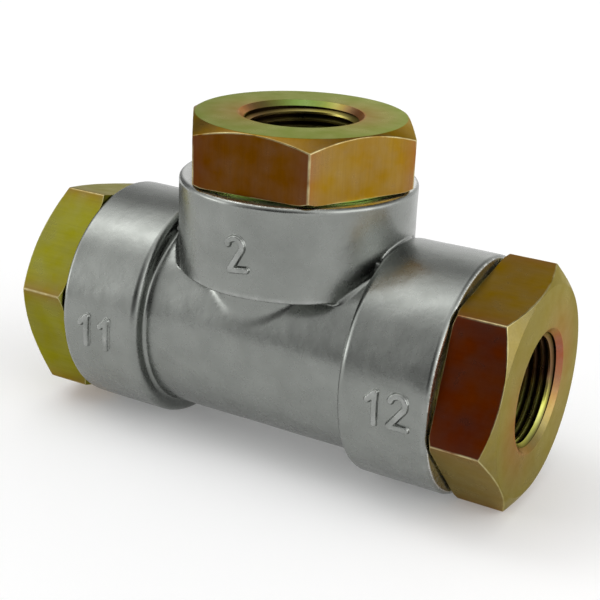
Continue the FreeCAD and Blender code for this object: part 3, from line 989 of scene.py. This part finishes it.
# painted shade: an olive darkened for port 11's upper flat, which catches light from behind
OLIVE_PAINTED_SHADE = (0.165, 0.163, 0.016)
OLIVE_BROWN = (0.225, 0.130, 0.020)
GOLD = (0.300, 0.178, 0.030)
DARK_GOLD = (0.245, 0.135, 0.020)
# partly the film's hue and partly painted shade, for flats turned from the light
SHADED_AMBER = (0.110, 0.040, 0.005)
RED_BROWN = (0.135, 0.025, 0.006)
TAN = (0.240, 0.168, 0.074)
OLIVE_GOLD = (0.225, 0.180, 0.060)
ROSE = (0.33, 0.11, 0.062)
# a thread is painted dark brown in its roots as shade and lighter on its crests, and its crests
# are yellow low in a lying bore, a painted highlight
SHADED_ROOT_BROWN = (0.040, 0.024, 0.010)
CREST_BROWN = (0.240, 0.135, 0.070)
CREST_YELLOW_HIGHLIGHT = (0.500, 0.500, 0.130)

# each port: how far its hexagon is turned, the side of its mouth where the film is rosy, the
# colours of its face and its chamfer, and those of its six flats, from the corner at angle 0
# the flats' colours are partly the film's hue and partly painted light and shade of how each flat
# is lit
PORT_LOOKS = {
    "adapter_port_2": (4.0, 25.5, OLIVE_GREEN, DARK_GOLD, (GOLD, OLIVE, OLIVE, SHADED_AMBER, SHADED_AMBER, GOLD)),
    "adapter_port_12": (41.9, 75.0, OLIVE_GOLD, OLIVE_GOLD,
                        (OLIVE, GOLD, OLIVE_BROWN, RED_BROWN, TAN, GOLD)),
    "adapter_port_11": (40.6, 75.0, OLIVE, OLIVE, (OLIVE, OLIVE, GOLD, OLIVE, OLIVE, OLIVE_PAINTED_SHADE)),
}
# how far rose reaches from a corner and how strong it is there, and how far from the mouth
ROSE_REACH = 1.6
ROSE_SHARE = 0.55
LIP_REACH = 0.9
# rose is darker on a dark flat, but no darker than this
ROSE_BY_RED = 3
LEAST_ROSE = 0.35
UPRIGHT = 0.3
PAST_EDGE = 0.02


def blend(first, second, share):
    """A colour that is this much of the second and the rest of the first."""
    return np.array(first) * (1 - share) + np.array(second) * share


def colour_port(mesh, rose_side, face_colour, chamfer_colour, flat_colours):
    """Store the plating's colour at each corner of each face, so that flats differ sharply."""
    layer = mesh.color_attributes.new("plating", "FLOAT_COLOR", "CORNER")
    verts = positions(mesh)
    colours = np.ones((len(mesh.loops), 4))
    lip_middle = PORT_RADIUS + MOUTH / 2
    for face in mesh.polygons:
        centre = verts[list(face.vertices)].mean(axis=0)
        radius = hypot(centre[0], centre[1])
        angle = degrees(atan2(centre[1], centre[0])) % 360
        flat = flat_colours[int(angle // 60)]
        in_thread = radius < PORT_RADIUS + PAST_EDGE and THREAD_END < centre[2] < PORT_REACH - MOUTH
        outside = radius > HEX_FACE_RADIUS + PAST_EDGE
        for loop in face.loop_indices:
            x, y, z = verts[mesh.loops[loop].vertex_index]
            off = abs((degrees(atan2(y, x)) + 30) % 60 - 30)
            rim = ROSE_SHARE * np.exp(-radians(off) * COLLAR_RADIUS / ROSE_REACH)
            # the bore wall among the threads gets the roots' dark brown, painted shade
            if in_thread:
                tint = SHADED_ROOT_BROWN
            elif outside and abs(face.normal.z) < UPRIGHT:
                rose = np.array(ROSE) * max(flat[0] * ROSE_BY_RED, LEAST_ROSE)
                tint = blend(flat, rose, rim)
            elif outside:
                tint = chamfer_colour
            else:
                off_lip = max(abs(hypot(x, y) - lip_middle) - MOUTH / 2, 0)
                side = cos(atan2(y, x) - radians(rose_side)) ** 2
                tint = blend(face_colour, ROSE, side * exp(-off_lip / LIP_REACH))
            colours[loop, :3] = tint
    layer.data.foreach_set("color", colours.ravel())


def smooth_by_area(mesh):
    """Normals that follow the large faces, so that the flats are shaded flat."""
    mesh.shade_smooth()
    verts = positions(mesh)
    quads = np.array([list(face.vertices) for face in mesh.polygons])
    corner = [verts[quads[:, k]] for k in range(4)]
    area = np.cross(corner[2] - corner[0], corner[3] - corner[1])
    normals = np.zeros_like(verts)
    for k in range(4):
        np.add.at(normals, quads[:, k], area)
    mesh.normals_split_custom_set_from_vertices(unit(normals, 1e-12).tolist())


# %% Plated steel material
def plating_material():
    """Yellow-chromated steel, with drifting colour, edges lightened as wear and a painted
    highlight, and fine tool marks.
    """
    material, tree = new_material("yellow_chromated_steel")
    slow = placed(tree, CLOUDS, Scale=70.0, Contrast=2.2)
    patch = placed(tree, CLOUDS, Scale=240.0, Contrast=2.6)
    grain = placed(tree, GRAIN, Scale=1800.0)
    # wear and painted highlight: edges lightened towards a pale yellow
    wear_and_highlight = placed(tree, WEAR_AND_HIGHLIGHT_EDGE, Edge=attribute(tree, "edge"), Scale=260.0, Amount=0.7)
    own_place = attribute(tree, "own_place", "Vector")
    drawn = placed(tree, GRAIN, Vector=own_place, Scale=2600.0, Stretch=(1.0, 1.0, 0.05))
    drifting = add(tree, "ShaderNodeHueSaturation", {
        "Hue": ranged(tree, slow, 0.494, 0.506),
        "Saturation": ranged(tree, patch, 0.92, 1.08),
        "Value": ranged(tree, slow, 0.90, 1.10),
        "Color": attribute(tree, "plating", "Color"),
    }).outputs["Color"]
    streaked = add(tree, "ShaderNodeHueSaturation", {
        "Value": ranged(tree, drawn, 0.88, 1.12),
        "Color": drifting,
    }).outputs["Color"]
    surface(tree, {
        "Base Color": mixed(tree, wear_and_highlight, streaked, (0.55, 0.50, 0.27, 1)),
        "Metallic": 1.0,
        "Specular Tint": (0.80, 0.74, 0.48, 1),
        "Roughness": ranged(tree, patch, 0.26, 0.36),
        "Normal": bumped(tree, grain, 0.10, 0.00005),
    })
    return material


# %% The three ports
RIGHT, LEFT = (Matrix.Rotation(radians(turn), 4, "Y") for turn in (90, -90))
PORT_PLACES = {
    "adapter_port_2": Matrix.Translation((0, 0, BRANCH_RIM)),
    "adapter_port_12": Matrix.Translation((HALF_RUN, 0, 0)) @ RIGHT,
    "adapter_port_11": Matrix.Translation((-HALF_RUN, 0, 0)) @ LEFT,
}
PLATING = plating_material()


def make_port(node, piece_name):
    """One port with its colours, in place of its CAD node."""
    mesh = port_mesh(piece_name, has_seat=node != "adapter_port_2")
    turn, *looks = PORT_LOOKS[node]
    colour_port(mesh, *looks)
    store(mesh, "own_place", positions(mesh) * MM)
    mesh.transform(TO_FRAME @ PORT_PLACES[node] @ Matrix.Rotation(radians(turn), 4, "Z"))
    smooth_by_area(mesh)
    mesh.materials.append(PLATING)
    port = new_object(piece_name, mesh)
    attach(port, "valve_body")
    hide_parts(node)


make_port("adapter_port_2", "hexagon_port_2")
make_port("adapter_port_12", "hexagon_port_12")
make_port("adapter_port_11", "hexagon_port_11")

# %% [markdown]
# A screw thread is one ridge wound along a helix, so it is a job for Geometry Nodes: a spiral
# gives the path, a trapezoid the section, and two clamps trim the ridge, at the chamfered mouth
# and where the tap ran out. The tree sets one thread on each of three points, turned to look out
# of its port, and ends with real geometry.

# %% Thread tree
PITCH = 1.5
CREST_RADIUS = PORT_RADIUS - 0.812
THREAD_LENGTH = 13.6
ROOT_SINK = 0.03
BEHIND_FACE = 0.08
STEPS_PER_TURN = 96
SHARP_THREAD_EDGE = radians(25)
THREAD_SIZES = {
    "Pitch": PITCH,
    "Length": THREAD_LENGTH,
    "Root radius": PORT_RADIUS + ROOT_SINK,
    "Crest radius": CREST_RADIUS,
    "Root width": PITCH * 0.875,
    "Crest width": PITCH / 4,
    "Mouth radius": PORT_RADIUS + MOUTH + ROOT_SINK,
}


def thread_tree():
    """Geometry Nodes: a threaded lining on each point, along its "outward" direction."""
    tree, given, made = new_group("helical_thread", [
        ("Geometry", "Geometry"),
        *((size, "Float") for size in THREAD_SIZES),
        ("Steps per turn", "Int"),
        ("Material", "Material"),
    ], [("Geometry", "Geometry")], kind="GeometryNodeTree")
    root, crest, length = given["Root radius"], given["Crest radius"], given["Length"]
    middle = maths(tree, "MULTIPLY", maths(tree, "ADD", root, crest), 0.5)
    spiral = add(tree, "GeometryNodeCurveSpiral", {
        "Resolution": given["Steps per turn"], "Height": length,
        "Rotations": maths(tree, "DIVIDE", length, given["Pitch"]),
        "Start Radius": middle, "End Radius": middle,
    })
    upright = add(tree, "GeometryNodeSetCurveNormal", {"Curve": spiral.outputs[0]}, mode="Z_UP")
    ridge = add(tree, "GeometryNodeCurvePrimitiveQuadrilateral", {
        "Bottom Width": given["Root width"], "Top Width": given["Crest width"],
        "Height": maths(tree, "SUBTRACT", root, crest), "Offset": 0.0,
    }, mode="TRAPEZOID")
    turned = add(tree, "GeometryNodeTransform", {
        "Geometry": ridge.outputs[0], "Rotation": (0, 0, radians(-90)),
    })
    swept = add(tree, "GeometryNodeCurveToMesh", {
        "Curve": upright.outputs[0], "Profile Curve": turned.outputs[0], "Fill Caps": True,
    })
    lowered = add(tree, "GeometryNodeTransform", {
        "Geometry": swept.outputs[0],
        "Translation": add(tree, "ShaderNodeCombineXYZ", {
            "Z": maths(tree, "MULTIPLY", length, -1.0),
        }).outputs[0],
    })
    position = add(tree, "GeometryNodeInputPosition").outputs[0]
    parts = add(tree, "ShaderNodeSeparateXYZ", {0: position}).outputs
    squares = [maths(tree, "MULTIPLY", parts[axis], parts[axis]) for axis in ("X", "Y")]
    radius = maths(tree, "SQRT", maths(tree, "ADD", *squares))
    depth = maths(tree, "MINIMUM", parts["Z"], -BEHIND_FACE)
    at_mouth = maths(tree, "ADD", given["Mouth radius"], depth)
    at_end = maths(tree, "SUBTRACT", maths(tree, "SUBTRACT", root, depth), length)
    trimmed = maths(tree, "MINIMUM", maths(tree, "MAXIMUM", radius, at_end), root)
    share = maths(tree, "DIVIDE", maths(tree, "MAXIMUM", trimmed, at_mouth), radius)
    clamped = add(tree, "GeometryNodeSetPosition", {
        "Geometry": lowered.outputs[0],
        "Position": add(tree, "ShaderNodeCombineXYZ", {
            "X": maths(tree, "MULTIPLY", parts["X"], share),
            "Y": maths(tree, "MULTIPLY", parts["Y"], share),
            "Z": depth,
        }).outputs[0],
    })
    outward = add(tree, "GeometryNodeInputNamedAttribute", {"Name": "outward"},
                  data_type="FLOAT_VECTOR").outputs[0]
    threads = add(tree, "GeometryNodeInstanceOnPoints", {
        "Points": given["Geometry"], "Instance": clamped.outputs[0],
        "Rotation": add(tree, "FunctionNodeAlignRotationToVector", {"Vector": outward},
                        axis="Z").outputs[0],
    })
    real = add(tree, "GeometryNodeRealizeInstances", {"Geometry": threads.outputs[0]})
    coated = add(tree, "GeometryNodeSetMaterial", {
        "Geometry": real.outputs[0], "Material": given["Material"],
    })
    tree.links.new(coated.outputs[0], made["Geometry"])
    return tree


# %% The port threads
# the painted yellow highlight begins this far down a lying bore and is full after this much more,
# as shares of the radius, and in the standing bore it grows towards the back, up to this share
YELLOW_START = 0.1
YELLOW_RISE = 0.5
BRANCH_YELLOW = 0.6


def thread_colours(verts):
    """The film's colour at points of the threads, by their height above the root, with painted
    shade in the roots and a painted yellow highlight.
    """
    x, y, z = verts.T
    on_branch = z > BRANCH_RIM + PORT_REACH - THREAD_LENGTH - 1
    radius = np.where(on_branch, np.hypot(x, y), np.hypot(y, z))
    height = np.clip((PORT_RADIUS - radius) / (PORT_RADIUS - CREST_RADIUS), 0, 1)[:, None]
    lying = (-z / radius - YELLOW_START) / YELLOW_RISE
    yellow = np.clip(np.where(on_branch, y / radius * BRANCH_YELLOW, lying), 0, 1)[:, None]
    colours = blend(SHADED_ROOT_BROWN, blend(CREST_BROWN, CREST_YELLOW_HIGHLIGHT, yellow), height)
    return np.concatenate([colours, np.ones((len(verts), 1))], axis=1)


def make_threads():
    """The threads of all three ports, as one plain mesh."""
    places = PORT_PLACES.values()
    mouths = new_mesh("port_threads", [place @ Vector((0, 0, PORT_REACH)) for place in places], [])
    store(mouths, "outward", np.array([place.to_3x3().col[2] for place in places]))
    carrier = new_object("port_threads_carrier", mouths)
    modifier = carrier.modifiers.new("threads", "NODES")
    modifier.node_group = thread_tree()
    given = {**THREAD_SIZES, "Steps per turn": STEPS_PER_TURN, "Material": PLATING}
    # a modifier's inputs go by the identifiers of their sockets
    for item in modifier.node_group.interface.items_tree:
        if item.in_out == "INPUT" and item.name in given:
            modifier[item.identifier] = given[item.name]
    mesh = applied(carrier)
    mesh.set_sharp_from_angle(angle=SHARP_THREAD_EDGE)
    store(mesh, "edge", np.zeros(len(mesh.vertices)))
    store(mesh, "own_place", positions(mesh) * MM)
    layer = mesh.color_attributes.new("plating", "FLOAT_COLOR", "POINT")
    layer.data.foreach_set("color", thread_colours(positions(mesh)).ravel())
    mesh.transform(TO_FRAME)
    threads = new_object("port_threads", mesh)
    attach(threads, "valve_body")


make_threads()

# %% [markdown]
# The sealing rings, the shuttle and its two discs keep their CAD shapes and only need materials:
# matt black rubber with a little bloom, and a pale moulded plastic with a soft sheen.

# %% Rubber and plastic
def moulded_material(name, clouds, colours, roughness, grain, more):
    """Two colours in clouds of (scale, contrast), under a grain of (scale, strength)."""
    material, tree = new_material(name)
    slow = placed(tree, CLOUDS, Scale=clouds[0], Contrast=clouds[1])
    height = placed(tree, GRAIN, Scale=grain[0])
    surface(tree, {
        "Base Color": mixed(tree, slow, *colours),
        "Roughness": ranged(tree, slow, *roughness),
        "Normal": bumped(tree, height, grain[1], 0.00004),
        **more,
    })
    return material


RUBBER = moulded_material(
    "black_sealing_rubber", (300.0, 2.0), ((0.018, 0.018, 0.019, 1), (0.035, 0.034, 0.033, 1)),
    (0.5, 0.68), (3000.0, 0.2), {})
PLASTIC = moulded_material(
    "pale_bearing_plastic", (120.0, 1.4), ((0.70, 0.67, 0.58, 1), (0.76, 0.73, 0.65, 1)),
    (0.38, 0.46), (1500.0, 0.12),
    {"Subsurface Weight": 0.08, "Subsurface Radius": (0.002, 0.0015, 0.001)})
for node_name, node in frame["nodes"].items():
    if node_name.startswith(("o_ring", "shuttle")):
        finish = PLASTIC if node_name == "shuttle" else RUBBER
        node.data.materials.clear()
        node.data.materials.append(finish)
